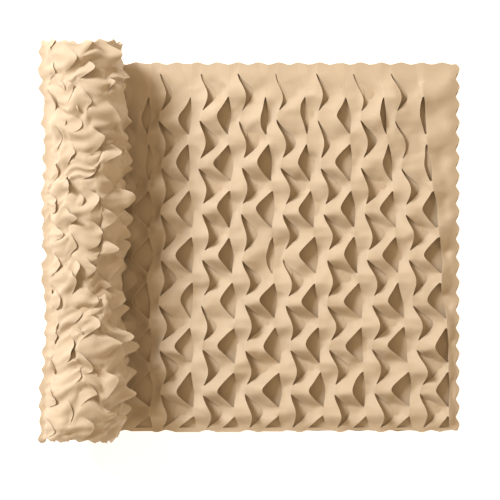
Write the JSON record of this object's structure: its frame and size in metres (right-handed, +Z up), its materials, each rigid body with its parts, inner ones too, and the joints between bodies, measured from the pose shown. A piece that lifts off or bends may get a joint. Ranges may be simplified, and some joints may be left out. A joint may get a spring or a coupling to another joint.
{
  "type": "shade sail",
  "caption": "Die-cut shade net used double, wound in a loose ruffled roll at one end and laid out flat at the other, with scalloped edges and wedge and leaf gaps.",
  "frame": {"origin": "bottom centre of the whole part as it lies on a floor", "axes": "+X from the roll to the free end, +Y along the roll, +Z up"},
  "size_m": [1.0982, 1.04, 0.2243],
  "materials": {
    "net_cloth": "matt woven polyester, sand"
  },
  "bodies": {
    "root": {"roll": "net_cloth", "upper_ply": "net_cloth", "lower_ply": "net_cloth"}
  },
  "joints": []
}
